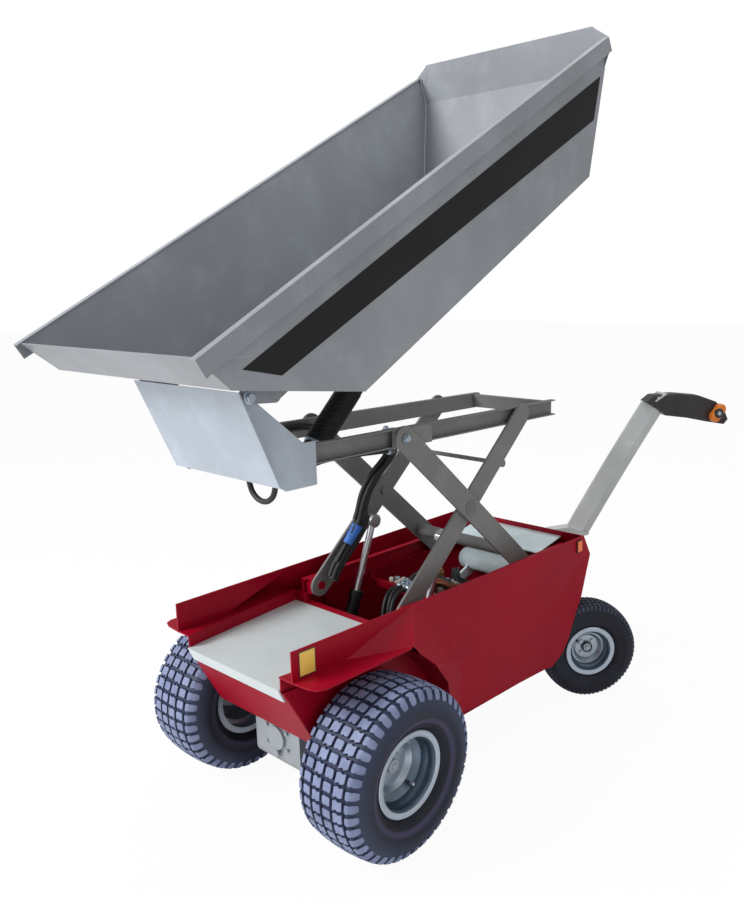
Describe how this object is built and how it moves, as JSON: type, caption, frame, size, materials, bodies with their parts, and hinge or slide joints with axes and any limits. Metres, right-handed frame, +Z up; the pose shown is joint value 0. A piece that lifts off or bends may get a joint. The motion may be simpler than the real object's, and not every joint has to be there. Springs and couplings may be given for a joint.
{
  "type": "pedestrian site dumper with scissor-lift skip",
  "caption": "Walk-behind site dumper with a tipping skip raised on a scissor lift, steered by a tiller at the rear.",
  "frame": {"origin": "on the ground under the middle of the machine as parked, skip raised and tipped", "axes": "+Z up, -Y towards the tipping end, +Y towards the tiller, +X to the left side"},
  "size_m": [0.9087, 2.3706, 2.2057],
  "materials": {
    "red_paint": "crimson gloss paint",
    "scissor_paint": "warm grey satin paint",
    "skip_paint": "light grey satin paint",
    "carrier_paint": "pale blue-grey paint",
    "deck_metal": "brushed plate",
    "zinc": "zinc plated",
    "tyre_rubber": "rubber",
    "black_plastic": "moulded",
    "orange_plastic": "moulded",
    "hose_rubber": "hose cover",
    "chrome_rod": "hard chrome",
    "black_paint": "black satin paint",
    "cast_casing": "cast",
    "tiller_paint": "silver paint"
  },
  "bodies": {
    "chassis": {"arch_wall_left": "red_paint", "arch_wall_right": "red_paint", "base_cross_members": "red_paint", "battery_block": "black_plastic", "belly_pan": "red_paint", "deck_plate": "deck_metal", "fender_shelf_left": "red_paint", "fender_shelf_right": "red_paint", "front_plate": "red_paint", "lift_cylinder_bracket_left": "black_paint", "lift_cylinder_bracket_right": "black_paint", "power_pack": "cast_casing", "rear_cover": "deck_metal", "rear_panel": "red_paint", "roller_track_left": "red_paint", "roller_track_right": "red_paint", "side_panel_left": "red_paint", "side_panel_right": "red_paint", "steering_bracket": "red_paint", "transaxle": "cast_casing", "tub_wall_left": "red_paint", "tub_wall_right": "red_paint"},
    "front_wheel_left": {"front_tyre_left": "tyre_rubber", "front_rim_left": "zinc"},
    "front_wheel_right": {"front_tyre_right": "tyre_rubber", "front_rim_right": "zinc"},
    "rear_wheel_left": {"rear_tyre_left": "tyre_rubber", "rear_rim_left": "zinc"},
    "rear_wheel_right": {"rear_tyre_right": "tyre_rubber", "rear_rim_right": "zinc"},
    "steering": {"rear_axle": "black_paint", "throttle_butterfly": "orange_plastic", "tiller_arm": "tiller_paint", "tiller_head": "black_plastic"},
    "inner_arms": {"inner_arm_left": "scissor_paint", "inner_arm_right": "scissor_paint", "scissor_tie_rod": "scissor_paint"},
    "outer_arms": {"outer_arm_left": "scissor_paint", "outer_arm_right": "scissor_paint", "outer_cross_tube": "scissor_paint"},
    "top_frame": {"carrier_bracket_left": "carrier_paint", "carrier_bracket_right": "carrier_paint", "carrier_plate": "carrier_paint", "hose_loop": "hose_rubber", "top_cross_members": "scissor_paint", "top_rail_left": "scissor_paint", "top_rail_right": "scissor_paint"},
    "skip": {"skip_back": "skip_paint", "skip_floor": "skip_paint", "skip_lugs": "skip_paint", "skip_side_left": "skip_paint", "skip_side_right": "skip_paint"},
    "lift_barrel": {"lift_cylinder_barrel_left": "black_paint", "lift_cylinder_barrel_right": "black_paint"},
    "lift_rod": {"lift_cylinder_rod_left": "chrome_rod", "lift_cylinder_rod_right": "chrome_rod"},
    "tip_barrel": {"tip_cylinder_barrel": "black_paint"},
    "tip_rod": {"tip_cylinder_rod": "black_paint"}
  },
  "joints": [
    {"name": "front_left_roll", "type": "hinge", "parent": "chassis", "child": "front_wheel_left", "pos_m": [0.334, -0.663, 0.2286], "axis": [1, 0, 0], "continuous": true},
    {"name": "front_right_roll", "type": "hinge", "parent": "chassis", "child": "front_wheel_right", "pos_m": [-0.334, -0.663, 0.2286], "axis": [1, 0, 0], "continuous": true},
    {"name": "steer", "type": "hinge", "parent": "chassis", "child": "steering", "pos_m": [0, 0.629, 0.173], "axis": [0, 0, 1], "range_deg": [-6, 84]},
    {"name": "rear_left_roll", "type": "hinge", "parent": "steering", "child": "rear_wheel_left", "pos_m": [0.28443, 0.39867, 0.173], "axis": [0.7771, -0.6293, 0], "continuous": true},
    {"name": "rear_right_roll", "type": "hinge", "parent": "steering", "child": "rear_wheel_right", "pos_m": [-0.28443, 0.85933, 0.173], "axis": [0.7771, -0.6293, 0], "continuous": true},
    {"name": "lift", "type": "hinge", "parent": "chassis", "child": "inner_arms", "pos_m": [0, -0.431, 0.533], "axis": [1, 0, 0], "range_deg": [-36, 0]},
    {"name": "scissor_pivot", "type": "hinge", "parent": "inner_arms", "child": "outer_arms", "pos_m": [0, -0.14972, 0.78627], "axis": [1, 0, 0], "range_deg": [0, 72.5]},
    {"name": "top_pin", "type": "hinge", "parent": "outer_arms", "child": "top_frame", "pos_m": [0, -0.431, 1.03953], "axis": [1, 0, 0], "range_deg": [-36.5, 0]},
    {"name": "tip", "type": "hinge", "parent": "top_frame", "child": "skip", "pos_m": [0, -0.946, 1.206], "axis": [1, 0, 0], "range_deg": [-30.5, 0]},
    {"name": "lift_cylinder_foot", "type": "hinge", "parent": "chassis", "child": "lift_barrel", "pos_m": [0, -0.378, 0.3], "axis": [1, 0, 0], "range_deg": [-19.94, 0]},
    {"name": "lift_cylinder_stroke", "type": "slide", "parent": "lift_barrel", "child": "lift_rod", "axis": [0, 0.3502, 0.9367], "range_m": [-0.09942, 0]},
    {"name": "tip_cylinder_foot", "type": "hinge", "parent": "top_frame", "child": "tip_barrel", "pos_m": [0, -0.618, 0.984], "axis": [1, 0, 0], "range_deg": [-44.57, 0]},
    {"name": "tip_cylinder_stroke", "type": "slide", "parent": "tip_barrel", "child": "tip_rod", "axis": [0, 0.696, 0.718], "range_m": [-0.1908, 0]}
  ],
  "couplings": [
    {"joint": "scissor_pivot", "follows": "lift", "ratio": -2},
    {"joint": "top_pin", "follows": "lift", "ratio": 1},
    {"joint": "lift_cylinder_foot", "follows": "lift", "ratio": 0.54292},
    {"joint": "lift_cylinder_stroke", "follows": "lift", "m_per_rad": 0.15513},
    {"joint": "tip_cylinder_foot", "follows": "tip", "ratio": 1.4327},
    {"joint": "tip_cylinder_stroke", "follows": "tip", "m_per_rad": 0.3514}
  ]
}
